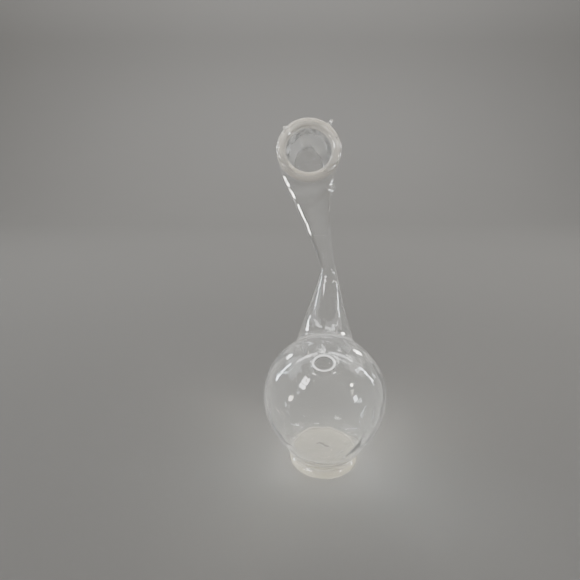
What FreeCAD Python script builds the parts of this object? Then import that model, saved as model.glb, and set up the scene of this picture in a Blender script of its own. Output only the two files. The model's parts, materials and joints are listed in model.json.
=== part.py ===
"""Footed glass retort flask with a waisted, forward-turned neck, as a parametric document.

Frame: millimetres, +Z up, origin at the centre of the foot's underside.
The mouth and the fill hole face -Y, the neck leaves the bulb towards +Y.
All pieces are glass fused to each other, so each one ends on the surface of its neighbour.
"""
import FreeCAD, Part
import Sketcher
import math
import os

from FreeCAD import Placement, Rotation, Vector

# Driving dimensions in millimetres and degrees.
DIMENSIONS = {
    "foot_height": 7.0,
    "foot_flat_radius": 25.6,       # outer limit of the resting face
    "foot_neck_radius": 26.0,       # top edge, set in a little under the bulb
    "foot_edge_curve": 3.56,        # radius of the rounded rim, which bulges to 28.8
    "pontil_radius": 8.0,           # ground hollow in the underside
    "pontil_depth": 1.2,
    "bulb_radius": 50.0,
    "bulb_centre_height": 61.0,
    "bulb_wall": 2.0,
    "shoulder_angle": 30.0,         # latitude below which the bulb runs on as a cone
    "floor_height": 13.5,           # inner floor of the bulb above the table
    "floor_curve": 9.0,             # rounding where the inner cone meets the floor
    "hole_elevation": 56.0,         # direction of the fill hole seen from the bulb's centre
    "hole_lean": 16.5,              # lean of the hole's axis from upright towards the front
    "hole_side_angle": 7.3,         # the hole's turn to the left about the bulb's upright axis
    "hole_radius": 7.0,
    "collar_radius": 8.9,
    "collar_rise": 1.8,             # rim above the bulb, measured on the hole's axis
    "collar_depth": 9.0,            # length of collar stock below the bulb's surface
    "collar_edge": 0.8,             # fire-polished rounding of the rim
    "neck_back_angle": 56.0,        # direction in which the neck leaves the bulb, from upright
    "neck_side_angle": 3.2,
    "neck_root_radius": 27.8,
    "neck_swell_radius": 19.4,
    "waist_entry_radius": 6.17,
    "waist_radius": 6.5,
    "waist_exit_radius": 8.9,
    "bell_swell_radius": 27.5,
    "bell_radius": 22.1,
    "neck_wall": 1.8,
    "root_pull": 36.3,              # pulls shape the neck's centre line between its ends
    "waist_pull_below": 8.3,
    "waist_pull_above": 59.8,
    "bell_pull": 37.7,
    "waist_right": 6.3,             # the waist, measured from the origin
    "waist_back": 68.4,
    "waist_height": 153.6,
    "waist_lean": 15.6,             # lean of the neck to the left at the waist
    "mouth_right": -14.5,           # back of the lip, measured from the origin
    "mouth_back": 24.0,
    "mouth_height": 252.7,
    "mouth_tilt": 20.0,             # the mouth looks forward and this far upward
    "bell_start": 0.48,             # where the bell begins, as a share of the upper neck
    "lip_bore_radius": 17.0,
    "lip_radius": 24.2,
    "lip_width": 6.5,
    "lip_edge": 2.1,
    "loop_radius": 3.0,
    "loop_wire_radius": 1.0,
}

# Small glass lugs, each a loop of rod: name, place along the upper neck, angle about it from
# the right-hand side, and height of the loop's centre above the neck's centre line.
LUGS = [
    ("lug_upper_right", 1.023, 52.0, 24.8),
    ("lug_upper_left", 1.023, 137.0, 21.8),
    ("lug_lower_right", 0.62, -36.0, 20.9),
]

SECTIONS_PER_TUBE = 9
ROOT_START = -0.08                  # the neck's stock starts this far inside the bulb


def value(name):
    """Current value of one dimension in the sheet."""
    return float(sheet.get(name))


def make_sheet(doc):
    """Spreadsheet with one aliased cell for each driving dimension."""
    new_sheet = doc.addObject("Spreadsheet::Sheet", "dims")
    for row, (name, number) in enumerate(DIMENSIONS.items(), start=1):
        new_sheet.set(f"A{row}", name)
        new_sheet.set(f"B{row}", str(number))
        new_sheet.setAlias(f"B{row}", name)
    doc.recompute()
    return new_sheet


def add(kind, name, **expressions):
    """Part primitive whose properties are bound to expressions of the sheet."""
    thing = doc.addObject(kind, name)
    for prop, expression in expressions.items():
        thing.setExpression(prop.replace("_", "."), expression)
    return thing


def cut(name, base, tool):
    """Boolean difference of two objects of the document."""
    result = doc.addObject("Part::Cut", name)
    result.Base = base
    result.Tool = tool
    return result


def revolved_body(name, corners):
    """PartDesign body turned about its own Z axis from a closed profile.

    Each corner is (radius, height, curve): two expressions for its place and the radius of the
    arc that leads to the next corner, or None where a straight line does.
    """
    body = doc.addObject("PartDesign::Body", name)
    sketch = body.newObject("Sketcher::SketchObject", name + "_profile")
    plane = [f for f in body.Origin.OriginFeatures if f.Role == "XZ_Plane"][0]
    sketch.AttachmentSupport = (plane, [""])
    sketch.MapMode = "FlatFace"
    places = [Vector(evaluate(r), evaluate(z), 0) for r, z, _ in corners]
    count = len(corners)
    for i, (_, _, curve) in enumerate(corners):
        start, end = places[i], places[(i + 1) % count]
        if curve is None:
            sketch.addGeometry(Part.LineSegment(start, end), False)
        else:
            sketch.addGeometry(arc_between(start, end, evaluate(curve)), False)
    for i, (r, z, curve) in enumerate(corners):
        sketch.addConstraint(Sketcher.Constraint("Coincident", i, 2, (i + 1) % count, 1))
        bind(sketch, i, "DistanceX", places[i].x, r)
        bind(sketch, i, "DistanceY", places[i].y, z)
        if curve is not None:
            index = sketch.addConstraint(Sketcher.Constraint("Radius", i, evaluate(curve)))
            sketch.setExpression(f"Constraints[{index}]", curve)
    turn = body.newObject("PartDesign::Revolution", name + "_turn")
    turn.Profile = sketch
    turn.ReferenceAxis = (sketch, ["V_Axis"])
    turn.Angle = 360.0
    body.Tip = turn
    return body


def bind(sketch, edge, kind, number, expression):
    """Ties the start of an edge to the sketch's origin along one axis."""
    if number == 0.0:
        axis = {"DistanceX": -2, "DistanceY": -1}[kind]
        sketch.addConstraint(Sketcher.Constraint("PointOnObject", edge, 1, axis))
        return
    index = sketch.addConstraint(Sketcher.Constraint(kind, -1, 1, edge, 1, number))
    sketch.setExpression(f"Constraints[{index}]", expression)


def evaluate(expression):
    """Number that an expression of the sheet stands for."""
    return float(sheet.evalExpression(expression.replace("dims.", "")))


def arc_between(start, end, radius):
    """Arc from start to end that turns left on the way."""
    chord = end - start
    middle = (start + end) * 0.5
    half = chord.Length * 0.5
    normal = Vector(-chord.y, chord.x, 0).normalize()
    centre = middle + normal * math.sqrt(max(radius ** 2 - half ** 2, 0.0))
    crest = centre - normal * radius
    return Part.Arc(start, crest, end)


def bezier(points, share):
    """Point of a cubic curve at the given share of its way."""
    weights = bezier_weights(share)
    total = Vector(0, 0, 0)
    for weight, point in zip(weights, points):
        total += point * weight
    return total


def bezier_weights(share):
    """The four weights of a cubic curve at the given share of its way."""
    rest = 1.0 - share
    return [rest ** 3, 3 * rest ** 2 * share, 3 * rest * share ** 2, share ** 3]


def bezier_direction(points, share):
    """Unit tangent of a cubic curve."""
    rest = 1.0 - share
    steps = [points[i + 1] - points[i] for i in range(3)]
    sum_of_steps = steps[0] * rest ** 2 + steps[1] * (2 * rest * share) + steps[2] * share ** 2
    return sum_of_steps.normalize()


def neck_lines():
    """Control points of the centre line below and above the waist."""
    back = math.radians(value("neck_back_angle"))
    side = math.radians(value("neck_side_angle"))
    lean = math.radians(value("waist_lean"))
    tilt = math.radians(value("mouth_tilt"))
    leaving = Vector(math.sin(side), math.cos(side) * math.sin(back), math.cos(side) * math.cos(back))
    at_waist = Vector(-math.sin(lean), 0, math.cos(lean))
    at_mouth = Vector(0, -math.cos(tilt), math.sin(tilt))
    depth = math.sqrt(value("bulb_radius") ** 2 - value("neck_root_radius") ** 2)
    root = Vector(0, 0, value("bulb_centre_height")) + leaving * depth
    waist = Vector(value("waist_right"), value("waist_back"), value("waist_height"))
    mouth = Vector(value("mouth_right"), value("mouth_back"), value("mouth_height"))
    lower = [root, root + leaving * value("root_pull"),
             waist - at_waist * value("waist_pull_below"), waist]
    upper = [waist, waist + at_waist * value("waist_pull_above"),
             mouth - at_mouth * value("bell_pull"), mouth]
    return lower, upper


def tube(name, line, radii, first, last, inset):
    """Solid loft through circles set square on a stretch of the neck's centre line."""
    circles = []
    for i in range(SECTIONS_PER_TUBE):
        share = first + (last - first) * i / (SECTIONS_PER_TUBE - 1)
        terms = [f"{weight:.9f} * dims.{radius}"
                 for weight, radius in zip(bezier_weights(share), radii)]
        circle = add("Part::Circle", f"{name}_ring_{i}", Radius=" + ".join(terms) + inset)
        turn = Rotation(Vector(0, 0, 1), bezier_direction(line, share))
        circle.Placement = Placement(bezier(line, share), turn)
        circles.append(circle)
    loft = doc.addObject("Part::Loft", name)
    loft.Sections = circles
    loft.Solid = True
    loft.Ruled = False
    return loft


def hollow_tube(name, line, radii, first, last):
    """Outer and inner solids of one stretch of the neck."""
    outer = tube(name + "_outer", line, radii, first, last, "")
    inner = tube(name + "_inner", line, radii, first, last, " - dims.neck_wall")
    return outer, inner


def bulb_solid(name, inset, bottom_height):
    """Ball that runs on as a tangent cone below the shoulder, inset from the outer surface."""
    ball = add("Part::Sphere", name + "_ball", Radius=f"dims.bulb_radius - {inset}",
               Angle1="-dims.shoulder_angle",
               Placement_Base_z="dims.bulb_centre_height")
    shoulder = f"(dims.bulb_radius - {inset}) * sin(dims.shoulder_angle)"
    top_radius = f"(dims.bulb_radius - {inset}) * cos(dims.shoulder_angle)"
    height = f"dims.bulb_centre_height - {shoulder} - {bottom_height}"
    cone = add("Part::Cone", name + "_cone", Radius2=top_radius,
               Radius1=f"{top_radius} - ({height}) * tan(dims.shoulder_angle)",
               Height=height, Placement_Base_z=bottom_height)
    solid = doc.addObject("Part::Fuse", name)
    solid.Base = ball
    solid.Tool = cone
    solid.Refine = True
    return solid


def make_bulb(neck_bore):
    """Blown bulb with a thick bottom, open to the neck and to the fill hole."""
    outside = bulb_solid("bulb_outside", "0", "dims.foot_height")
    inside = bulb_solid("bulb_inside", "dims.bulb_wall", "dims.floor_height")
    doc.recompute()
    floor_edge = lowest_edge(inside.Shape)
    room = doc.addObject("Part::Fillet", "bulb_room")
    room.Base = inside
    room.Edges = [(floor_edge, value("floor_curve"), value("floor_curve"))]
    drill = add("Part::Cylinder", "hole_drill", Radius="dims.hole_radius",
                Height="2 * dims.collar_depth + dims.collar_rise")
    drill.Placement = hole_frame(-value("collar_depth"))
    blown = cut("bulb_blown", outside, room)
    opened = cut("bulb_opened", blown, neck_bore)
    return cut("bulb", opened, drill)


def lowest_edge(shape):
    """Number of the circular edge that lies lowest on a shape."""
    heights = [edge.CenterOfMass.z if edge.Closed else 1e9 for edge in shape.Edges]
    return heights.index(min(heights)) + 1


def hole_frame(offset):
    """Placement on the fill hole's axis, offset from the bulb's surface."""
    elevation = math.radians(value("hole_elevation"))
    ball = value("bulb_radius")
    on_bulb = Vector(0, -ball * math.cos(elevation),
                     value("bulb_centre_height") + ball * math.sin(elevation))
    aside = Rotation(Vector(0, 0, 1), -value("hole_side_angle"))
    turn = aside.multiply(Rotation(Vector(1, 0, 0), value("hole_lean")))
    return Placement(aside.multVec(on_bulb) + turn.multVec(Vector(0, 0, offset)), turn)


def make_collar():
    """Short upright collar of the fill hole, seated on the bulb and fire-polished at the rim."""
    top = "dims.collar_depth + dims.collar_rise"
    ring = revolved_body("collar_ring", [
        ("dims.hole_radius", "0", None),
        ("dims.collar_radius", "0", None),
        ("dims.collar_radius", f"{top} - dims.collar_edge", "dims.collar_edge"),
        ("dims.collar_radius - dims.collar_edge", top, None),
        ("dims.hole_radius + dims.collar_edge", top, "dims.collar_edge"),
        ("dims.hole_radius", f"{top} - dims.collar_edge", None),
    ])
    ring.Placement = hole_frame(-value("collar_depth"))
    return cut("fill_hole_collar", ring, bulb_ball("collar_seat"))


def bulb_ball(name):
    """Plain ball of the bulb's outer size, used to seat other pieces on the bulb."""
    return add("Part::Sphere", name, Radius="dims.bulb_radius",
               Placement_Base_z="dims.bulb_centre_height")


def make_foot():
    """Applied disc foot with a rounded rim and a ground hollow in its underside."""
    disc = revolved_body("foot_disc", [
        ("0", "0", None),
        ("dims.foot_flat_radius", "0", "dims.foot_edge_curve"),
        ("dims.foot_neck_radius", "dims.foot_height", None),
        ("0", "dims.foot_height", None),
    ])
    curve = "(dims.pontil_radius ^ 2 + dims.pontil_depth ^ 2) / (2 * dims.pontil_depth)"
    grinder = add("Part::Sphere", "pontil_ball", Radius=curve,
                  Placement_Base_z=f"dims.pontil_depth - {curve}")
    return cut("foot", disc, grinder)


def make_lip(mouth, direction):
    """Thick rounded ring around the mouth."""
    lip = revolved_body("mouth_lip", [
        ("dims.lip_bore_radius + dims.lip_edge", "0", None),
        ("dims.lip_radius - dims.lip_edge", "0", "dims.lip_edge"),
        ("dims.lip_radius", "dims.lip_edge", None),
        ("dims.lip_radius", "dims.lip_width - dims.lip_edge", "dims.lip_edge"),
        ("dims.lip_radius - dims.lip_edge", "dims.lip_width", None),
        ("dims.lip_bore_radius + dims.lip_edge", "dims.lip_width", "dims.lip_edge"),
        ("dims.lip_bore_radius", "dims.lip_width - dims.lip_edge", None),
        ("dims.lip_bore_radius", "dims.lip_edge", "dims.lip_edge"),
    ])
    lip.Placement = Placement(mouth, Rotation(Vector(0, 0, 1), direction))
    return lip


def make_lug(name, line, share, angle, height, lip, bell):
    """Small loop of glass rod sunk into the lip or the bell that it is fused to."""
    along = bezier_direction(line, share)
    right = (Vector(1, 0, 0) - along * along.x).normalize()
    above = along.cross(right)
    turn = math.radians(angle)
    outward = right * math.cos(turn) + above * math.sin(turn)
    rod = add("Part::Torus", name + "_rod", Radius1="dims.loop_radius",
              Radius2="dims.loop_wire_radius")
    centre = bezier(line, share) + outward * height
    rod.Placement = Placement(centre, Rotation(Vector(0, 0, 1), along.cross(outward)))
    return cut(name, cut(name + "_off_lip", rod, lip), bell)


def check(parts):
    """Stops before anything is written if an object failed or a part is not sound."""
    for thing in doc.Objects:
        if "Invalid" in thing.State or "Error" in thing.State:
            raise RuntimeError(f"{thing.Name} failed: {thing.State}")
    for part in parts:
        shape = part.Shape
        if shape.isNull() or not shape.isValid() or len(shape.Solids) != 1:
            raise RuntimeError(f"{part.Label} is not one sound solid")


doc = FreeCAD.newDocument("retort_flask")
sheet = make_sheet(doc)
lower_line, upper_line = neck_lines()
lower_radii = ["neck_root_radius", "neck_swell_radius", "waist_entry_radius", "waist_radius"]
upper_radii = ["waist_radius", "waist_exit_radius", "bell_swell_radius", "bell_radius"]
bell_start = value("bell_start")

cone_outer, cone_inner = hollow_tube("cone", lower_line, lower_radii, ROOT_START, 1.0)
throat_outer, throat_inner = hollow_tube("throat", upper_line, upper_radii, 0.0, bell_start)
bell_outer, bell_inner = hollow_tube("bell", upper_line, upper_radii, bell_start, 1.0)

lip_solid = make_lip(upper_line[3], bezier_direction(upper_line, 1.0))
parts = [
    make_foot(),
    make_bulb(cone_inner),
    make_collar(),
    cut("neck_cone", cut("cone_wall", cone_outer, cone_inner), bulb_ball("cone_seat")),
    cut("neck_throat", throat_outer, throat_inner),
    cut("mouth_bell", bell_outer, bell_inner),
    lip_solid,
]
for lug_name, share, angle, height in LUGS:
    parts.append(make_lug(lug_name, upper_line, share, angle, height, lip_solid, bell_outer))

doc.recompute()
check(parts)
os.makedirs("parts", exist_ok=True)
for part in parts:
    part.Shape.exportStep(f"parts/{part.Label}.step")
    print(part.Label, round(part.Shape.Volume / 1000.0, 3), "cm3")
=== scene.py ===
"""Hand-blown glass retort flask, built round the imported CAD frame.

The glass is described as one smooth field, negative inside the glass: an outer skin, made of
the bulb, the foot, the collar, the neck and the lip melted together, less an inner hollow.
Each named piece is meshed from that field inside its own region and closed where it is fused
to its neighbour. Fields are in millimetres; finished meshes are in metres.
"""
import json
import math

import bpy
import mathutils
import numpy as np
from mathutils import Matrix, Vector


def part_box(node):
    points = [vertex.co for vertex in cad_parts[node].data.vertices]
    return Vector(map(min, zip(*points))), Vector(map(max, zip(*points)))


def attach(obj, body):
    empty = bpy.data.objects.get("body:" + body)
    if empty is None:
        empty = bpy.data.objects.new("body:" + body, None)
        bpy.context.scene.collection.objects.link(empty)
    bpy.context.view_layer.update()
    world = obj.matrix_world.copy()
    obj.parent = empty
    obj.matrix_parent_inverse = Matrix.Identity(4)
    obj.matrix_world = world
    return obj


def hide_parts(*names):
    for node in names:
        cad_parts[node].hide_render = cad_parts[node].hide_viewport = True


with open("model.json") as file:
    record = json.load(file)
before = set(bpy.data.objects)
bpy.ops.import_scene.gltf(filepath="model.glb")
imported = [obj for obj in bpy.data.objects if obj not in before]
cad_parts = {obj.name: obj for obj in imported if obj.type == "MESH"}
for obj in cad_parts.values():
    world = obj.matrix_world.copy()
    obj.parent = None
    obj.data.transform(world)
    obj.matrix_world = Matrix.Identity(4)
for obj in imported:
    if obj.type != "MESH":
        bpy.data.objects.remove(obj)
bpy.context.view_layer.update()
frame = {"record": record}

MM = 0.001
UP = np.array([0.0, 0.0, 1.0])
MOUNTS = {mount["name"]: mount for mount in frame["record"]["mounts"]}


def unit(vector):
    """Vector of length one in the same direction."""
    vector = np.asarray(vector, float)
    return vector / np.linalg.norm(vector)


def node_box(node):
    """Lowest and highest corner of a CAD node, in millimetres."""
    low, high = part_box(node)
    return np.array(low) / MM, np.array(high) / MM


# ------------------------------------------------------------------ sizes in millimetres

FOOT_LOW, FOOT_HIGH = node_box("foot")
BULB_LOW, BULB_HIGH = node_box("bulb")
CONE_TOP = node_box("neck_cone")[1][2]
LIP_LOW, LIP_HIGH = node_box("mouth_lip")

BULB_RADIUS = float(round((BULB_HIGH[0] - BULB_LOW[0]) / 2))
BULB_CENTRE = np.array([0.0, 0.0, round(BULB_HIGH[2] - BULB_RADIUS)])
BULB_WALL = 2.0
SHOULDER = math.radians(30)         # below this latitude the bulb runs on as a cone
FLOOR_HEIGHT = 13.5                 # inner floor above the table
FLOOR_CURVE = 9.0

FOOT_RADIUS = (FOOT_HIGH[0] - FOOT_LOW[0]) / 2
FOOT_HEIGHT = FOOT_HIGH[2]
FOOT_BAND = 0.2                     # half the height of the flat band round its edge
PONTIL_RADIUS = 8.0
PONTIL_DEPTH = 1.2
PONTIL_CURVE = 0.3                  # rounding of the ground hollow's edge

HOLE_AXIS = unit(MOUNTS["fill_hole"]["axis"])
HOLE_CENTRE = np.array(MOUNTS["fill_hole"]["pos_m"]) / MM
HOLE_RADIUS = MOUNTS["fill_hole"]["dims"]["r_mm"]
COLLAR_RADIUS = 8.9
COLLAR_RISE = 1.8
COLLAR_REACH = 11.5                 # the collar's piece ends this far from the hole's axis

MOUTH_AXIS = unit(MOUNTS["mouth"]["axis"])
LIP_BORE = MOUNTS["mouth"]["dims"]["r_mm"]
LIP_RADIUS = (LIP_HIGH[0] - LIP_LOW[0]) / 2
LIP_WIDTH = 6.5
LIP_CURVE = 3.0
MOUTH = np.array(MOUNTS["mouth"]["pos_m"]) / MM - MOUTH_AXIS * LIP_WIDTH / 2

NECK_WALL = 1.8
NECK_BACK = math.radians(56)
NECK_SIDE = math.radians(3.2)
WAIST_LEAN = math.radians(15.6)
LOWER_RADII = np.array([27.8, 19.4, 6.17, 6.5])
UPPER_RADII = np.array([6.5, 8.9, 27.5, 22.1])
WAIST = np.array([6.3, 68.4, CONE_TOP - LOWER_RADII[3] * math.sin(WAIST_LEAN)])
ROOT_PULL, WAIST_PULL_DOWN = 36.3, 8.3      # lengths of the handles of the centre line's curves
WAIST_PULL_UP, MOUTH_PULL = 59.8, 37.7
BELL_START = 1.48                   # along the neck: 0 is the root, 1 the waist, 2 the mouth

LUG_RADIUS = 3.0
LUG_WIRE = 1.0
LUG_FLARE, LUG_FLARE_REACH = 0.35, 0.8      # the rod's swelling where it meets the skin
LUG_SINK = 0.3                      # a lug's piece starts this deep in the glass it sits on
LUGS = {                            # place along the neck, angle about it, height above it
    "lug_upper_right": (2.023, 52.0, 24.8),
    "lug_upper_left": (2.023, 137.0, 21.8),
    "lug_lower_right": (1.62, -36.0, 20.9),
}

RIM_CURVE = 0.85                    # fire-polished rounding where the skin meets the hollow
BODY_BOTTOM = 4.0                   # the bulb's glass ends this high, inside the foot
COLLAR_DEPTH = 8.0                  # how far in from the bulb's surface collar and hole are made
BORE_DEPTH, BORE_END = 6.0, 2.0     # how far the mouth's bore runs into the neck and the lip
TUBE_END = 0.5                      # the neck's wall runs this far into the lip

FOOT_FILLET = 1.2                   # glass melted into the corner where two parts were joined
COLLAR_FILLET = 1.6
NECK_FILLET = 2.6
LIP_FILLET = 1.0
HOLE_FILLET = 0.7
INNER_CURVE = 1.0                   # ends that lie hidden in other glass

BODY_WAVE, BODY_WOBBLE = 0.14, 0.007        # heights of the unevenness of the bulb's outside
TUBE_RIPPLE, TUBE_WOBBLE = 0.10, 0.03       # of the neck's outside
ROOM_WAVE, ROOM_RIPPLE = 0.16, 0.09         # of the room in the bulb
BORE_RIPPLE = 0.14                          # of the neck's bore
RIDGE_HEIGHT = 0.25                         # spiral ridges on the waist
RIDGE_MIDDLE, RIDGE_SPREAD, RIDGE_TWIST = 1.02, 0.2, 15     # places and radians along the neck


# ------------------------------------------------------------------ the neck's centre line

def neck_line():
    """Control points of the two cubic curves, root to waist and waist to mouth."""
    leaving = np.array([math.sin(NECK_SIDE), math.cos(NECK_SIDE) * math.sin(NECK_BACK),
                        math.cos(NECK_SIDE) * math.cos(NECK_BACK)])
    at_waist = np.array([-math.sin(WAIST_LEAN), 0.0, math.cos(WAIST_LEAN)])
    root = BULB_CENTRE + leaving * math.sqrt(BULB_RADIUS ** 2 - LOWER_RADII[0] ** 2)
    lower = [root, root + leaving * ROOT_PULL, WAIST - at_waist * WAIST_PULL_DOWN, WAIST]
    upper = [WAIST, WAIST + at_waist * WAIST_PULL_UP, MOUTH - MOUTH_AXIS * MOUTH_PULL, MOUTH]
    return np.array([lower, upper])


LINE = neck_line()
RADII = np.array([LOWER_RADII, UPPER_RADII])
NECK_START, NECK_END = -0.08, 2.0
ROOT_AXIS = unit(LINE[0, 1] - LINE[0, 0])
WAIST_AXIS = unit(LINE[1, 1] - LINE[1, 0])
ROOT_CUT = 48.0                     # the bulb's piece ends this far from its centre, on the neck


def cubic(control, along):
    """Value, slope and bend of the two-part cubic at places along the neck."""
    part = np.clip(np.floor(along), 0, 1).astype(int)
    share = (along - part)[:, None]
    rest = 1.0 - share
    a, b, c, d = (control[part, i] for i in range(4))
    value = rest ** 3 * a + 3 * rest ** 2 * share * b + 3 * rest * share ** 2 * c + share ** 3 * d
    slope = 3 * (rest ** 2 * (b - a) + 2 * rest * share * (c - b) + share ** 2 * (d - c))
    bend = 6 * (rest * (c - 2 * b + a) + share * (d - 2 * c + b))
    return value, slope, bend


SAMPLES = np.linspace(NECK_START, NECK_END, 120)
SAMPLE_POINTS = cubic(LINE, SAMPLES)[0]
SAMPLE_SQUARES = (SAMPLE_POINTS ** 2).sum(1)
SAMPLE_RADII = cubic(RADII[:, :, None], SAMPLES)[0][:, 0]
NECK_REACH = 7.0                    # further from the wall than this, a rough place will do
LONGEST_STEP = 0.03                 # along the neck, in one round of the search for a place


def place_on_neck(points):
    """Place along the centre line nearest to each point, exact near the neck's wall."""
    gaps = SAMPLE_SQUARES - 2 * points @ SAMPLE_POINTS.T
    nearest = gaps.argmin(1)
    along = SAMPLES[nearest]
    distance = np.linalg.norm(points - SAMPLE_POINTS[nearest], axis=1)
    near = np.abs(distance - SAMPLE_RADII[nearest]) < NECK_REACH
    close, target = along[near], points[near]
    for _ in range(3):
        value, slope, bend = cubic(LINE, close)
        gap = value - target
        push = (gap * slope).sum(1)
        steepness = (slope * slope).sum(1)
        stiffness = np.maximum(steepness + (gap * bend).sum(1), steepness * 0.2)
        step = np.clip(push / stiffness, -LONGEST_STEP, LONGEST_STEP)
        close = np.clip(close - step, NECK_START, NECK_END)
    along[near] = close
    return along


def neck_frame(along):
    """Centre point, tangent, right-hand and upward direction at one place on the neck."""
    value, slope, _ = cubic(LINE, np.array([along]))
    tangent = unit(slope[0])
    right = unit(np.array([1.0, 0.0, 0.0]) - tangent * tangent[0])
    return value[0], tangent, right, np.cross(tangent, right)


# ------------------------------------------------------------------ fields

def melt(a, b, curve):
    """Union of two fields with a fillet of the given radius."""
    rounding = np.hypot(np.maximum(curve - a, 0), np.maximum(curve - b, 0))
    return np.maximum(curve, np.minimum(a, b)) - rounding


def meet(a, b, curve):
    """Intersection of two fields with a rounded edge of the given radius."""
    rounding = np.hypot(np.maximum(curve + a, 0), np.maximum(curve + b, 0))
    return np.minimum(-curve, np.maximum(a, b)) + rounding


def about(points, centre, axis):
    """Distance from an axis and height along it."""
    offset = points - centre
    height = offset @ axis
    return np.sqrt(np.maximum((offset ** 2).sum(1) - height ** 2, 0)), height


def waves(seed, length, count=6):
    """Smooth deterministic ripple of height about one, with crests about length apart."""
    rng = np.random.default_rng(seed)
    directions = rng.normal(size=(count, 3))
    directions /= np.linalg.norm(directions, axis=1)[:, None]
    pace = 2 * math.pi / (length * rng.uniform(0.7, 1.5, count))
    phase = rng.uniform(0, 2 * math.pi, count)
    return lambda p: np.sin(p @ (directions * pace[:, None]).T + phase).sum(1) / math.sqrt(count)


SKIN_WAVES = waves(3, 34)
SKIN_RIPPLE = waves(5, 13)
SKIN_WOBBLE = waves(23, 7)
HOLLOW_WAVES = waves(11, 27)
HOLLOW_RIPPLE = waves(17, 12)


def ball(points, inset):
    """Bulb: a ball that runs on as a tangent cone below the shoulder."""
    offset = points - BULB_CENTRE
    radius = np.hypot(offset[:, 0], offset[:, 1])
    height = offset[:, 2]
    round_part = np.hypot(radius, height)
    straight_part = radius * math.cos(SHOULDER) - height * math.sin(SHOULDER)
    low = height < -math.tan(SHOULDER) * radius
    return np.where(low, straight_part, round_part) - (BULB_RADIUS - inset)


def foot(points):
    """Disc with a rounded rim and a shallow ground hollow in its underside."""
    radius, height = about(points, np.zeros(3), UP)
    half = FOOT_HEIGHT / 2
    curve = half - FOOT_BAND
    out = np.maximum(radius - (FOOT_RADIUS - curve), 0)
    up = np.maximum(np.abs(height - half) - (half - curve), 0)
    disc = np.hypot(out, up) - curve
    grinder = (PONTIL_RADIUS ** 2 + PONTIL_DEPTH ** 2) / (2 * PONTIL_DEPTH)
    pontil = grinder - np.hypot(radius, height - PONTIL_DEPTH + grinder)
    return meet(disc, pontil, PONTIL_CURVE)


def neck(points):
    """Distance from the tube round the centre line, and the spiral ridges on its waist.

    The ridges are left where the tube was turned while it was drawn out.
    """
    along = place_on_neck(points)
    centre, slope, _ = cubic(LINE, along)
    radius = cubic(RADII[:, :, None], along)[0][:, 0]
    offset = points - centre
    sideways = offset[:, 0] / np.hypot(slope[:, 1], slope[:, 2])
    upward = (slope[:, 1] * offset[:, 2] - slope[:, 2] * offset[:, 1]) / (slope ** 2).sum(1)
    angle = np.arctan2(upward, sideways)
    strength = np.exp(-((along - RIDGE_MIDDLE) / RIDGE_SPREAD) ** 2)
    ridges = strength * np.cos(2 * angle - RIDGE_TWIST * (along - 1))
    return np.linalg.norm(offset, axis=1) - radius, ridges


def skin(points, tube=None):
    """Outer surface of the whole flask without its lugs."""
    tube, ridges = tube or neck(points)
    body = meet(ball(points, 0.0), BODY_BOTTOM - points[:, 2], INNER_CURVE)
    body = body + BODY_WAVE * SKIN_WAVES(points) + BODY_WOBBLE * SKIN_WOBBLE(points)
    body = melt(body, foot(points), FOOT_FILLET)
    radius, height = about(points, HOLE_CENTRE, HOLE_AXIS)
    collar = meet(radius - COLLAR_RADIUS, height - COLLAR_RISE, RIM_CURVE)
    collar = meet(collar, -COLLAR_DEPTH - height, INNER_CURVE)
    body = melt(body, collar, COLLAR_FILLET)
    ripple = TUBE_RIPPLE * SKIN_RIPPLE(points) + TUBE_WOBBLE * SKIN_WOBBLE(points)
    tube = tube + (ripple + RIDGE_HEIGHT * ridges)
    body = melt(body, np.maximum(tube, (points - MOUTH) @ MOUTH_AXIS - TUBE_END), NECK_FILLET)
    radius, height = about(points, MOUTH, MOUTH_AXIS)
    out = np.abs(radius - (LIP_BORE + LIP_RADIUS) / 2) - ((LIP_RADIUS - LIP_BORE) / 2 - LIP_CURVE)
    up = np.abs(height - LIP_WIDTH / 2) - (LIP_WIDTH / 2 - LIP_CURVE)
    lip = np.hypot(np.maximum(out, 0), np.maximum(up, 0)) + np.minimum(np.maximum(out, up), 0)
    return melt(body, lip - LIP_CURVE, LIP_FILLET)


def hollow(points, tube=None):
    """Inner surface: the room in the bulb, the fill hole, the neck's bore and the mouth."""
    tube, ridges = tube or neck(points)
    room = ball(points, BULB_WALL)
    room = room + ROOM_WAVE * HOLLOW_WAVES(points) + ROOM_RIPPLE * HOLLOW_RIPPLE(points)
    room = meet(room, FLOOR_HEIGHT - points[:, 2], FLOOR_CURVE)
    radius, height = about(points, HOLE_CENTRE, HOLE_AXIS)
    room = melt(room, np.maximum(radius - HOLE_RADIUS, -COLLAR_DEPTH - height), HOLE_FILLET)
    tube = tube + NECK_WALL + BORE_RIPPLE * HOLLOW_RIPPLE(points) + RIDGE_HEIGHT * ridges
    room = melt(room, np.maximum(tube, (points - MOUTH) @ MOUTH_AXIS), NECK_FILLET)
    radius, height = about(points, MOUTH, MOUTH_AXIS)
    bore = np.maximum(radius - LIP_BORE, np.maximum(-BORE_DEPTH - height, height - BORE_END))
    return melt(room, bore, LIP_FILLET)


def glass(points):
    """The flask's glass without its lugs."""
    tube = neck(points)
    return meet(skin(points, tube), -hollow(points, tube), RIM_CURVE)


def in_chunks(field, points, size=40000):
    """Field values of many points, worked out a part at a time."""
    return np.concatenate([field(points[i:i + size]) for i in range(0, len(points), size)])


STEP = 0.01                         # for slopes, in millimetres
LEAST_SLOPE = 0.05                  # squared; where a field is flatter, points move less
LEAST_CROSSING = 0.02               # the same for two fields that run nearly side by side


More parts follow.
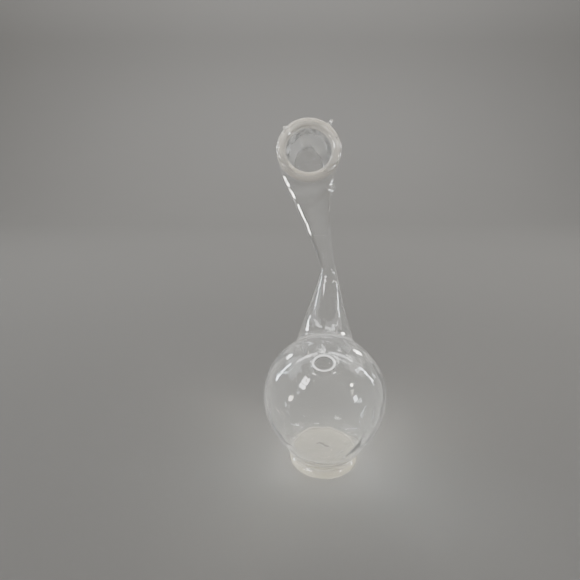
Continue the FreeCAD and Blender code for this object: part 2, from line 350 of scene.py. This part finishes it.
def gradient(field, points):
    """Direction and rate of growth of a field, by central differences."""
    columns = []
    for axis in range(3):
        shift = np.zeros(3)
        shift[axis] = STEP
        columns.append(in_chunks(field, points + shift) - in_chunks(field, points - shift))
    return np.stack(columns, 1) / (2 * STEP)


def settle(points, field, rounds=2):
    """Points moved on to the zero surface of a field."""
    shifts = np.eye(3) * STEP
    for _ in range(rounds):
        level = in_chunks(field, points)
        slope = np.stack([in_chunks(field, points + shift) - level for shift in shifts], 1)
        slope /= STEP
        push = level / np.maximum((slope ** 2).sum(1), LEAST_SLOPE)
        points = points - np.clip(push, -1, 1)[:, None] * slope
    return points


# ------------------------------------------------------------------ meshing

CORNERS = np.array([[i, j, k] for i in (0, 1) for j in (0, 1) for k in (0, 1)])
EDGES = [(a, b) for a in range(8) for b in range(a + 1, 8)
         if np.abs(CORNERS[a] - CORNERS[b]).sum() == 1]
BLOCK = 6                           # grid points along one side of a block


def grid_values(field, low, cell, counts):
    """Field at each grid point; a block far from the surface takes its middle's value."""
    index = np.stack(np.meshgrid(*(np.arange(n) for n in counts), indexing="ij"), -1)
    blocks = -(-counts // BLOCK)    # rounded up
    middles = np.stack(np.meshgrid(*(np.arange(n) for n in blocks), indexing="ij"), -1)
    middles = low + cell * (middles.reshape(-1, 3) * BLOCK + (BLOCK - 1) / 2)
    at_middle = in_chunks(field, middles).reshape(blocks)
    values = at_middle[tuple(np.moveaxis(index // BLOCK, -1, 0))]
    near = np.abs(values) < cell * BLOCK * 1.1
    values[near] = in_chunks(field, low + cell * index[near])
    return values


def surface_net(field, low, high, cell):
    """Points and triangles of a field's zero surface, from a regular grid over a box."""
    counts = np.ceil((high - low) / cell).astype(int) + 1
    values = grid_values(field, low, cell, counts)
    inside = values < 0
    nx, ny, nz = counts - 1
    filled = sum(inside[i:i + nx, j:j + ny, k:k + nz].astype(int) for i, j, k in CORNERS)
    cells = np.argwhere((filled > 0) & (filled < 8))
    number = np.full((nx, ny, nz), -1)
    number[tuple(cells.T)] = np.arange(len(cells))
    at_corner = np.stack([values[tuple((cells + corner).T)] for corner in CORNERS], 1)
    total, crossings = np.zeros((len(cells), 3)), np.zeros(len(cells))
    for a, b in EDGES:
        crossed = (at_corner[:, a] < 0) != (at_corner[:, b] < 0)
        drop = np.where(crossed, at_corner[:, a] - at_corner[:, b], 1.0)
        share = (at_corner[:, a] / drop)[:, None]
        total += crossed[:, None] * (CORNERS[a] + share * (CORNERS[b] - CORNERS[a]))
        crossings += crossed
    points = low + cell * (cells + total / crossings[:, None])
    return points, net_triangles(points, inside, number)


def net_triangles(points, inside, number):
    """Outward-facing triangles, two round each grid edge that the surface crosses."""
    triangles = []
    for axis in range(3):
        _, side, other = np.roll(np.eye(3, dtype=int), -axis, axis=0)
        starts = np.argwhere(inside != np.roll(inside, -1, axis))
        starts = starts[(starts >= side + other).all(1) & (starts < number.shape).all(1)]
        ring = (starts, starts - side, starts - side - other, starts - other)
        quads = np.stack([number[tuple(cell.T)] for cell in ring], 1)
        entering = ~inside[tuple(starts.T)]
        quads[entering] = quads[entering][:, ::-1]
        first = np.linalg.norm(points[quads[:, 0]] - points[quads[:, 2]], axis=1)
        second = np.linalg.norm(points[quads[:, 1]] - points[quads[:, 3]], axis=1)
        quads = np.where((first <= second)[:, None], quads, np.roll(quads, -1, axis=1))
        triangles += [quads[:, [0, 1, 2]], quads[:, [0, 2, 3]]]
    return np.concatenate(triangles)


def settle_on_both(points, field, cut, rounds=4):
    """Points moved on to the line where the zero surfaces of two fields cross."""
    for _ in range(rounds):
        a, b = gradient(field, points), gradient(cut, points)
        at_a, at_b = field(points), cut(points)
        aa, ab, bb = (a * a).sum(1), (a * b).sum(1), (b * b).sum(1)
        scale = np.maximum(aa * bb - ab * ab, LEAST_CROSSING)
        along_a = np.clip((at_b * ab - at_a * bb) / scale, -1, 1)
        along_b = np.clip((at_a * ab - at_b * aa) / scale, -1, 1)
        points = points + along_a[:, None] * a + along_b[:, None] * b
    return points


def slice_off(points, faces, field, cut, snap):
    """Mesh with the part where the cut is positive taken away, left open there."""
    level = cut(points)
    near = np.abs(level) < snap
    points = points.copy()
    points[near] = settle_on_both(points[near], field, cut)
    sign = np.where(near, 0, np.sign(level)).astype(int)
    signs = sign[faces]
    kept = faces[(signs <= 0).all(1) & (signs < 0).any(1)]
    mixed = faces[(signs > 0).any(1) & (signs < 0).any(1)]
    edges = np.sort(np.concatenate([mixed[:, [0, 1]], mixed[:, [1, 2]], mixed[:, [2, 0]]]), axis=1)
    edges = np.unique(edges[sign[edges[:, 0]] * sign[edges[:, 1]] < 0], axis=0)
    first, second = points[edges[:, 0]], points[edges[:, 1]]
    share = level[edges[:, 0]] / (level[edges[:, 0]] - level[edges[:, 1]])
    crossings = settle_on_both(first + share[:, None] * (second - first), field, cut)
    number = {tuple(edge): len(points) + i for i, edge in enumerate(edges.tolist())}
    pieces = []
    for face in mixed.tolist():
        outline = []
        for here, following in zip(face, face[1:] + face[:1]):
            if sign[here] <= 0:
                outline.append(here)
            if sign[here] * sign[following] < 0:
                outline.append(number[min(here, following), max(here, following)])
        pieces += [(outline[0], outline[i], outline[i + 1]) for i in range(1, len(outline) - 1)]
    faces = np.concatenate([kept, np.array(pieces, int).reshape(-1, 3)])
    return np.concatenate([points, crossings]), faces


def open_loops(faces):
    """Chains of points round each opening of a mesh."""
    directed = np.concatenate([faces[:, [0, 1]], faces[:, [1, 2]], faces[:, [2, 0]]])
    present = set(map(tuple, directed.tolist()))
    following = {}
    for a, b in present:
        if (b, a) not in present:
            following.setdefault(b, []).append(a)
    loops = []
    while any(following.values()):
        start = next(point for point, ahead in following.items() if ahead)
        loop, here = [start], following[start].pop()
        while here != start:
            loop.append(here)
            here = following[here].pop()
        loops.append(loop)
    return loops


def close_ring(points, outer, inner, axis):
    """Triangles of the ring between two loops that run round the same axis."""
    centre = points[outer].mean(0)
    across = unit(np.cross(axis, [1.0, 0.3, 0.2]))
    other = np.cross(axis, across)
    turns = []
    for loop in (outer, inner):
        offset = points[loop] - centre
        angle = np.arctan2(offset @ other, offset @ across)
        order = np.argsort(angle)
        turns.append([(angle[i], loop[i]) for i in order])
    a, b = turns
    a.append((a[0][0] + 2 * math.pi, a[0][1]))
    b.append((b[0][0] + 2 * math.pi, b[0][1]))
    faces, i, j = [], 0, 0
    while i < len(a) - 1 or j < len(b) - 1:
        if j == len(b) - 1 or (i < len(a) - 1 and a[i + 1][0] <= b[j + 1][0]):
            faces.append((a[i][1], a[i + 1][1], b[j][1]))
            i += 1
        else:
            faces.append((a[i][1], b[j + 1][1], b[j][1]))
            j += 1
    return faces


def nested(first, second):
    """Whether two loops run round nearly the same middle."""
    middle = first.mean(0)
    reach = np.linalg.norm(first - middle, axis=1).mean()
    return np.linalg.norm(second.mean(0) - middle) < reach / 2


def close_cuts(points, faces, cuts):
    """Points with fan centres added, and the cap triangles that close every opening."""
    owners = {}
    for loop in open_loops(faces):
        distances = [np.abs(cut(points[loop])).max() for cut in cuts]
        owners.setdefault(int(np.argmin(distances)), []).append(loop)
    caps = []
    for owner, loops in owners.items():
        loops.sort(key=len)
        outward = gradient(cuts[owner], points[loops[-1]]).mean(0)
        if len(loops) >= 2 and nested(points[loops[-1]], points[loops[-2]]):
            axis = HOLE_AXIS if np.linalg.norm(outward) < 0.5 else unit(outward)
            ring = np.array(close_ring(points, loops.pop(), loops.pop(), axis))
            caps += turn_outward(points, ring, cuts[owner]).tolist()
        for loop in loops:
            points = np.concatenate([points, [points[loop].mean(0)]])
            caps += [(len(points) - 1, a, b) for a, b in zip(loop, loop[1:] + loop[:1])]
    return points, np.array(caps, int).reshape(-1, 3)


def turn_outward(points, ring, cut):
    """A ring of triangles, turned over as a whole if it faces the kept side of its cut."""
    corners = points[ring]
    facing = np.cross(corners[:, 1] - corners[:, 0], corners[:, 2] - corners[:, 0])
    outward = gradient(cut, corners.mean(1))
    return ring if (facing * outward).sum() > 0 else ring[:, ::-1]


def largest_part(faces, count):
    """Faces of the largest connected part of a mesh with the given number of points."""
    label = np.arange(count)
    while True:
        lowest = label.copy()
        for corner in range(3):
            np.minimum.at(lowest, faces[:, corner], label[faces].min(1))
        lowest = lowest[lowest]
        if (lowest == label).all():
            break
        label = lowest
    parts = label[faces[:, 0]]
    return faces[parts == np.bincount(parts).argmax()]


def make_mesh(name, points, faces, caps, field):
    """Mesh in metres, shaded with the field's own normals; caps are flat, in the second slot."""
    every = np.concatenate([faces, caps])
    used, every = np.unique(every, return_inverse=True)
    every = every.reshape(-1, 3)
    points = points[used]
    normals = gradient(field, points)
    normals /= np.maximum(np.linalg.norm(normals, axis=1), 1e-9)[:, None]
    corner_normals = normals[every]
    corners = points[every]
    flat = np.cross(corners[:, 1] - corners[:, 0], corners[:, 2] - corners[:, 0])
    flat /= np.maximum(np.linalg.norm(flat, axis=1), 1e-12)[:, None]
    corner_normals[len(faces):] = flat[len(faces):, None]
    mesh = bpy.data.meshes.new(name)
    mesh.vertices.add(len(points))
    mesh.vertices.foreach_set("co", (points * MM).ravel())
    mesh.loops.add(every.size)
    mesh.loops.foreach_set("vertex_index", every.ravel())
    mesh.polygons.add(len(every))
    mesh.polygons.foreach_set("loop_start", np.arange(0, every.size, 3))
    mesh.polygons.foreach_set("material_index", (np.arange(len(every)) >= len(faces)).astype(int))
    mesh.update(calc_edges=True)
    mesh.shade_smooth()
    mesh.normals_split_custom_set(corner_normals.reshape(-1, 3))
    return mesh


CUT_MARGIN = 3                      # cells kept past a cut before the mesh is sliced there
SNAP = 0.04                         # share of a cell within which a point is put on the cut
GLASSWARE = bpy.data.collections.new("glassware")   # what the window lamps light


def make_piece(node, field, cuts, cell, glass_kind, reach=4.0):
    """One named piece of the flask, meshed from a field inside its cuts and closed.

    Cell is the meshing grid's spacing, and reach the margin of the grid round the CAD node.
    """
    low, high = node_box(node)
    points, faces = surface_net(field, low - reach, high + reach, cell)
    for cut in cuts:
        outside = cut(points) > CUT_MARGIN * cell
        faces = faces[~outside[faces].all(1)]
    used, faces = np.unique(faces, return_inverse=True)
    points, faces = settle(points[used], field), faces.reshape(-1, 3)
    for cut in cuts:
        points, faces = slice_off(points, faces, field, cut, cell * SNAP)
    faces = largest_part(faces, len(points))
    points, caps = close_cuts(points, faces, cuts)
    piece = bpy.data.objects.new(node + "_glass", make_mesh(node, points, faces, caps, field))
    bpy.context.scene.collection.objects.link(piece)
    GLASSWARE.objects.link(piece)
    piece.data.materials.append(MATERIALS[glass_kind])
    piece.data.materials.append(MATERIALS["seam"])
    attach(piece, "root")
    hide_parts(node)
    return piece


# ------------------------------------------------------------------ materials

def new_material(name):
    """Empty node material with its output node."""
    material = bpy.data.materials.new(name)
    material.use_nodes = True
    material.node_tree.nodes.clear()
    return material, material.node_tree, material.node_tree.nodes.new("ShaderNodeOutputMaterial")


def noise(tree, scale, detail, coordinates):
    """Noise in the object's own coordinates, scale in patches per metre."""
    node = tree.nodes.new("ShaderNodeTexNoise")
    node.inputs["Scale"].default_value = scale
    node.inputs["Detail"].default_value = detail
    tree.links.new(coordinates, node.inputs["Vector"])
    return node.outputs["Fac"]


def between(tree, factor, low, high, to_low, to_high):
    """A factor mapped from one range to another, clamped."""
    node = tree.nodes.new("ShaderNodeMapRange")
    sockets = ("From Min", "From Max", "To Min", "To Max")
    for socket, number in zip(sockets, (low, high, to_low, to_high)):
        node.inputs[socket].default_value = number
    tree.links.new(factor, node.inputs["Value"])
    return node.outputs["Result"]


def vector_math(tree, operation, first, second=None):
    """Vector operation on a socket and a fixed vector, in metres; its vector and its value."""
    node = tree.nodes.new("ShaderNodeVectorMath")
    node.operation = operation
    tree.links.new(first, node.inputs[0])
    if second is not None:
        node.inputs[1].default_value = tuple(second)
    return node.outputs[0], node.outputs[1]


def from_upright(tree, coordinates):
    """Distance from the flask's upright axis, in metres."""
    flat, _ = vector_math(tree, "MULTIPLY", coordinates, (1.0, 1.0, 0.0))
    return vector_math(tree, "LENGTH", flat)[1]


def from_rim(tree, coordinates):
    """Distance from the circle along the crest of the fill hole's rim, in metres."""
    offset, _ = vector_math(tree, "SUBTRACT", coordinates, HOLE_CENTRE * MM)
    height = vector_math(tree, "DOT_PRODUCT", offset, HOLE_AXIS)[1]
    aside, _ = vector_math(tree, "CROSS_PRODUCT", offset, HOLE_AXIS)
    radius = vector_math(tree, "LENGTH", aside)[1]
    pair = tree.nodes.new("ShaderNodeCombineXYZ")
    tree.links.new(radius, pair.inputs["X"])
    tree.links.new(height, pair.inputs["Y"])
    crest = np.array([(HOLE_RADIUS + COLLAR_RADIUS) / 2, COLLAR_RISE, 0.0]) * MM
    offset, _ = vector_math(tree, "SUBTRACT", pair.outputs["Vector"], crest)
    return vector_math(tree, "LENGTH", offset)[1]


TINT_SCALE, HAZE_SCALE, CORD_SCALE, SEED_SCALE = 28, 45, 260, 130       # patches per metre
CORD_STRETCH = 0.22                 # the cords are drawn out along the upright axis
HAZE_START, HAZE_FULL, MOST_HAZE = 0.5, 0.75, 0.045
SEED_CORE, SEED_EDGE, SEED_SHARE = 0.03, 0.09, 0.5
RELIEF = 0.00012                    # metres


def glass_material(name, pale, deep, clearness, edge_sheen, haze_and_painted_highlight=None):
    """Clear blown glass: faint uneven tint, finger haze, fine cords and pinhead seeds.

    Clearness is the share of light let through; the edge sheen is a painted highlight along the
    edges.
    The last argument names a place where the glass lets less through, a haze on the foot's outer
    part and a painted highlight on the crest of the fill hole's rim: a measure of the point, the
    range over which it changes, and the clearness beyond that.
    """
    material, tree, output = new_material(name)
    coordinates = tree.nodes.new("ShaderNodeTexCoord").outputs["Object"]
    shader = tree.nodes.new("ShaderNodeBsdfPrincipled")
    shader.inputs["Transmission Weight"].default_value = clearness
    if haze_and_painted_highlight:
        measure, start, end, dim = haze_and_painted_highlight
        share = between(tree, measure(tree, coordinates), start, end, clearness, dim)
        tree.links.new(share, shader.inputs["Transmission Weight"])
    # painted highlight: a pale sheen on the edges stands in for the bright reflections along them
    shader.inputs["Sheen Weight"].default_value = edge_sheen
    shader.inputs["Sheen Roughness"].default_value = 0.3
    shader.inputs["Sheen Tint"].default_value = (1.0, 0.97, 0.92, 1.0)
    shader.inputs["IOR"].default_value = 1.5
    tint = tree.nodes.new("ShaderNodeMix")
    tint.data_type = "RGBA"
    tint.inputs["A"].default_value = (*pale, 1)
    tint.inputs["B"].default_value = (*deep, 1)
    tree.links.new(noise(tree, TINT_SCALE, 3, coordinates), tint.inputs["Factor"])
    tree.links.new(tint.outputs["Result"], shader.inputs["Base Color"])
    haze = noise(tree, HAZE_SCALE, 5, coordinates)
    haze = between(tree, haze, HAZE_START, HAZE_FULL, 0.0, MOST_HAZE)
    tree.links.new(haze, shader.inputs["Roughness"])
    stretched = tree.nodes.new("ShaderNodeMapping")
    stretched.inputs["Scale"].default_value = (1.0, 1.0, CORD_STRETCH)
    tree.links.new(coordinates, stretched.inputs["Vector"])
    cords = noise(tree, CORD_SCALE, 2, stretched.outputs["Vector"])
    seeds = tree.nodes.new("ShaderNodeTexVoronoi")
    seeds.inputs["Scale"].default_value = SEED_SCALE
    tree.links.new(coordinates, seeds.inputs["Vector"])
    dots = between(tree, seeds.outputs["Distance"], SEED_CORE, SEED_EDGE, 1.0, 0.0)
    relief = tree.nodes.new("ShaderNodeMath")
    relief.operation = "MULTIPLY_ADD"
    relief.inputs[1].default_value = SEED_SHARE
    tree.links.new(dots, relief.inputs[0])
    tree.links.new(cords, relief.inputs[2])
    bump = tree.nodes.new("ShaderNodeBump")
    bump.inputs["Strength"].default_value = 0.25
    bump.inputs["Distance"].default_value = RELIEF
    tree.links.new(relief.outputs["Value"], bump.inputs["Height"])
    tree.links.new(bump.outputs["Normal"], shader.inputs["Normal"])
    through = tree.nodes.new("ShaderNodeBsdfTransparent")
    through.inputs["Color"].default_value = (0.9, 0.9, 0.89, 1)
    shadow = tree.nodes.new("ShaderNodeLightPath").outputs["Is Shadow Ray"]
    lamps = tree.nodes.new("ShaderNodeMixShader")
    tree.links.new(shadow, lamps.inputs["Fac"])
    tree.links.new(shader.outputs["BSDF"], lamps.inputs[1])
    tree.links.new(through.outputs["BSDF"], lamps.inputs[2])
    tree.links.new(lamps.outputs["Shader"], output.inputs["Surface"])
    return material


def seam_material():
    """Clear join between two pieces of one body of glass: light passes straight on."""
    material, tree, output = new_material("fused_seam")
    clear = tree.nodes.new("ShaderNodeBsdfTransparent")
    tree.links.new(clear.outputs["BSDF"], output.inputs["Surface"])
    return material


CLEAR = ((0.985, 0.985, 0.975), (0.96, 0.962, 0.95))
AMBER = ((0.89, 0.85, 0.74), (0.78, 0.73, 0.58))
# painted light: the lip's cream tints its glass, and its diffuse share stands in for the pale
# surroundings seen through the thick lip
PAINTED_LIP_PALE = ((0.86, 0.82, 0.74), (0.78, 0.73, 0.64))
MATERIALS = {
    "clear": glass_material("clear_blown_glass", *CLEAR, 0.978, 0.32),
    "foot": glass_material("thick_foot_glass", *AMBER, 0.96, 0.3,
                           (from_upright, 0.016, 0.026, 0.86)),
    # painted highlight: the crest of the fill hole's rim is made less clear, so it shows pale, and
    # it gets more sheen, standing in for the bright line of light along it
    "rim": glass_material("rim_painted_highlight", *CLEAR, 0.978, 0.45,
                          (from_rim, 0.0011, 0.0007, 0.4)),
    # painted light: a fifth of the lip's light is diffuse pale cream, standing in for the pale
    # surroundings seen through the thick glass
    "lip": glass_material("lip_painted_light", *PAINTED_LIP_PALE, 0.8, 0.2),
    "seam": seam_material(),
}


# ------------------------------------------------------------------ pieces

def beyond(centre, axis):
    """Cut that takes away everything past a plane."""
    return lambda p: (p - centre) @ axis


def lug_field(name):
    """Small loop of rod, flared where it meets the skin that it is fused to."""
    share, angle, height = LUGS[name]
    middle, tangent, right, above = neck_frame(share)
    turn = math.radians(angle)
    outward = right * math.cos(turn) + above * math.sin(turn)
    centre, axis = middle + outward * height, np.cross(tangent, outward)

    def field(points):
        radius, rise = about(points, centre, axis)
        rod = np.hypot(radius - LUG_RADIUS, rise) - LUG_WIRE
        depth = np.maximum(skin(points), -LUG_SINK)
        return rod - LUG_FLARE * np.exp(-depth / LUG_FLARE_REACH)
    return field


HOLE_SIDE = 20.0                    # deeper below the hole than this is the bulb's far side


def collar_side(points):
    """Distance from the edge of the collar's piece, positive outside it."""
    radius, height = about(points, HOLE_CENTRE, HOLE_AXIS)
    return np.where(height > -HOLE_SIDE, radius - COLLAR_REACH, 1.0)


THROAT_END, THROAT_AXIS, _, _ = neck_frame(BELL_START)
PLANES = {
    "foot": (UP * FOOT_HEIGHT, UP),
    "root": (BULB_CENTRE + ROOT_AXIS * ROOT_CUT, ROOT_AXIS),
    "waist": (WAIST, WAIST_AXIS),
    "throat": (THROAT_END, THROAT_AXIS),
    "mouth": (MOUTH, MOUTH_AXIS),
}


def after(name):
    """Cut that keeps what lies past a named plane."""
    centre, axis = PLANES[name]
    return beyond(centre, -axis)


def until(name):
    """Cut that keeps what lies before a named plane."""
    return beyond(*PLANES[name])


def around_collar(points):
    """Cut that keeps what lies outside the collar's piece."""
    return -collar_side(points)


def above_skin(points):
    """Cut that keeps what stands on the skin, and a little of what is sunk in it."""
    return -skin(points) - LUG_SINK


make_piece("foot", glass, [until("foot")], 0.8, "foot")
make_piece("bulb", glass, [after("foot"), until("root"), around_collar], 0.95, "clear", reach=6.0)
make_piece("fill_hole_collar", glass, [collar_side], 0.45, "rim")
make_piece("neck_cone", glass, [after("root"), until("waist")], 0.8, "clear")
make_piece("neck_throat", glass, [after("waist"), until("throat")], 0.7, "clear")
make_piece("mouth_bell", glass, [after("throat"), until("mouth")], 0.75, "clear")
make_piece("mouth_lip", glass, [after("mouth")], 0.5, "lip")
for lug in LUGS:
    make_piece(lug, lug_field(lug), [above_skin], 0.25, "clear", reach=1.5)


# ------------------------------------------------------------------ stage, light and camera

def plain_material(name, colour, roughness):
    """Matt stage material with a faint unevenness."""
    material, tree, output = new_material(name)
    coordinates = tree.nodes.new("ShaderNodeTexCoord").outputs["Object"]
    shader = tree.nodes.new("ShaderNodeBsdfPrincipled")
    shader.inputs["Roughness"].default_value = roughness
    tint = tree.nodes.new("ShaderNodeMix")
    tint.data_type = "RGBA"
    tint.inputs["A"].default_value = (*colour, 1)
    tint.inputs["B"].default_value = (*(0.96 * c for c in colour), 1)
    tree.links.new(noise(tree, 3, 2, coordinates), tint.inputs["Factor"])
    tree.links.new(tint.outputs["Result"], shader.inputs["Base Color"])
    tree.links.new(shader.outputs["BSDF"], output.inputs["Surface"])
    return material


FLOOR_GAP = 0.0002                  # air left under the glass, so that its flat base shows
FLOOR_FRONT, FLOOR_BACK, FLOOR_HALF_WIDTH = -3.0, 1.3, 3.5
SWEEP_RADIUS, WALL_TOP = 0.8, 3.0
FLOOR_COLOUR = (0.21, 0.205, 0.195)


def make_floor():
    """Broad pale sweep: flat under the flask, curving up far behind it."""
    profile = [(FLOOR_FRONT, 0.0), (FLOOR_BACK, 0.0)]
    for turn in (math.radians(a) for a in range(6, 91, 6)):
        profile.append((FLOOR_BACK + SWEEP_RADIUS * math.sin(turn),
                        SWEEP_RADIUS - SWEEP_RADIUS * math.cos(turn)))
    profile.append((FLOOR_BACK + SWEEP_RADIUS, WALL_TOP))
    vertices = [(x, y, z - FLOOR_GAP) for y, z in profile
                for x in (-FLOOR_HALF_WIDTH, FLOOR_HALF_WIDTH)]
    faces = [(2 * i, 2 * i + 1, 2 * i + 3, 2 * i + 2) for i in range(len(profile) - 1)]
    mesh = bpy.data.meshes.new("floor")
    mesh.from_pydata(vertices, [], faces)
    mesh.shade_smooth()
    floor = bpy.data.objects.new("floor", mesh)
    bpy.context.scene.collection.objects.link(floor)
    floor.data.materials.append(plain_material("pale_floor", FLOOR_COLOUR, 0.7))


def make_light(name, place, target, size, power, colour, glass_only=False):
    """Soft rectangular lamp aimed at a point, which may leave the floor unlit."""
    lamp = bpy.data.lights.new(name, "AREA")
    lamp.shape = "RECTANGLE"
    lamp.size, lamp.size_y = size
    lamp.energy = power
    lamp.color = colour
    thing = bpy.data.objects.new(name, lamp)
    bpy.context.scene.collection.objects.link(thing)
    thing.location = place
    direction = mathutils.Vector(target) - mathutils.Vector(place)
    thing.rotation_euler = direction.to_track_quat("-Z", "Y").to_euler()
    thing.visible_camera = False
    if glass_only:
        thing.light_linking.receiver_collection = GLASSWARE


def make_world(colour, strength):
    """Even pale surroundings."""
    world = bpy.data.worlds.new("studio")
    world.use_nodes = True
    background = world.node_tree.nodes["Background"]
    background.inputs["Color"].default_value = (*colour, 1)
    background.inputs["Strength"].default_value = strength
    bpy.context.scene.world = world


MIDDLE = (0.0, 0.0, 0.07)           # what the windows face
WINDOW_DISTANCE = 0.8
PANE_PITCH = 1.2                    # from pane to pane, in pane widths


def make_window(name, direction, panes, pane, power, colour):
    """Window of several panes, seen from the flask in a given direction, for glints only."""
    direction = unit(direction)
    centre = np.array(MIDDLE) + direction * WINDOW_DISTANCE
    across = unit(np.cross(UP, direction))
    upward = np.cross(direction, across)
    columns, rows = panes
    for i in range(columns):
        for j in range(rows):
            shift = across * (i - (columns - 1) / 2) * pane[0] * PANE_PITCH
            shift = shift + upward * (j - (rows - 1) / 2) * pane[1] * PANE_PITCH
            place = centre + shift
            make_light(f"{name}_{i}_{j}", place, place - direction, pane,
                       power / (columns * rows), colour, glass_only=True)


WINDOWS = {     # direction, columns and rows of panes, size of a pane, watts, colour
    "window_front_left": ((-0.63, -0.43, 0.64), (2, 3), (0.07, 0.085), 6.0, (1.0, 0.99, 0.97)),
    "window_left": ((-0.86, 0.38, 0.34), (1, 3), (0.055, 0.12), 4.5, (0.82, 0.91, 1.0)),
    "lamp_right": ((0.71, -0.45, 0.54), (1, 1), (0.06, 0.07), 1.6, (1.0, 0.93, 0.82)),
    "window_back_left": ((-0.62, 0.66, 0.42), (2, 2), (0.04, 0.06), 2.0, (0.95, 0.97, 1.0)),
    "window_back_right": ((0.60, 0.70, 0.40), (2, 2), (0.04, 0.06), 2.0, (1.0, 0.97, 0.9)),
    "window_right": ((0.9, 0.2, 0.37), (1, 3), (0.045, 0.12), 3.5, (0.9, 0.95, 1.0)),
    "window_low_left": ((-0.93, -0.42, 0.14), (2, 2), (0.04, 0.055), 1.8, (1.0, 0.93, 0.82)),
    "window_low_right": ((0.80, -0.58, 0.22), (2, 2), (0.035, 0.05), 1.5, (0.9, 0.95, 1.0)),
}
SOFT_LIGHTS = {     # place, target, size, watts, colour
    "softbox_left": ((-1.1, 0.35, 1.05), (0.0, 0.05, 0.15), (1.0, 0.7), 4, (0.95, 0.98, 1.0)),
    "softbox_right": ((1.1, 0.35, 1.05), (0.0, 0.05, 0.15), (1.0, 0.7), 4, (1.0, 0.97, 0.92)),
    "overhead": ((0.0, 0.6, 1.9), (0.0, 1.6, 0.3), (2.4, 1.0), 12, (1.0, 1.0, 1.0)),
    "wall_wash": ((0.0, 0.9, 2.2), (0.0, 2.1, 0.5), (4.0, 0.5), 60, (1.0, 1.0, 1.0)),
}

make_floor()
make_world((1.0, 0.985, 0.96), 0.22)
for name, window in WINDOWS.items():
    make_window(name, *window)
for name, lamp in SOFT_LIGHTS.items():
    make_light(name, *lamp)

CAMERA_PLACE = (-0.0285, -0.319, 0.249)
CAMERA_TILT = math.radians(17)      # below level
SENSOR_WIDTH, LENS = 36.0, 27.06    # millimetres

camera = bpy.data.cameras.new("photo_view")
camera.sensor_width = SENSOR_WIDTH
camera.lens = LENS
viewer = bpy.data.objects.new("photo_view", camera)
bpy.context.scene.collection.objects.link(viewer)
viewer.location = CAMERA_PLACE
viewer.rotation_euler = (math.radians(90) - CAMERA_TILT, 0.0, 0.0)
bpy.context.scene.camera = viewer
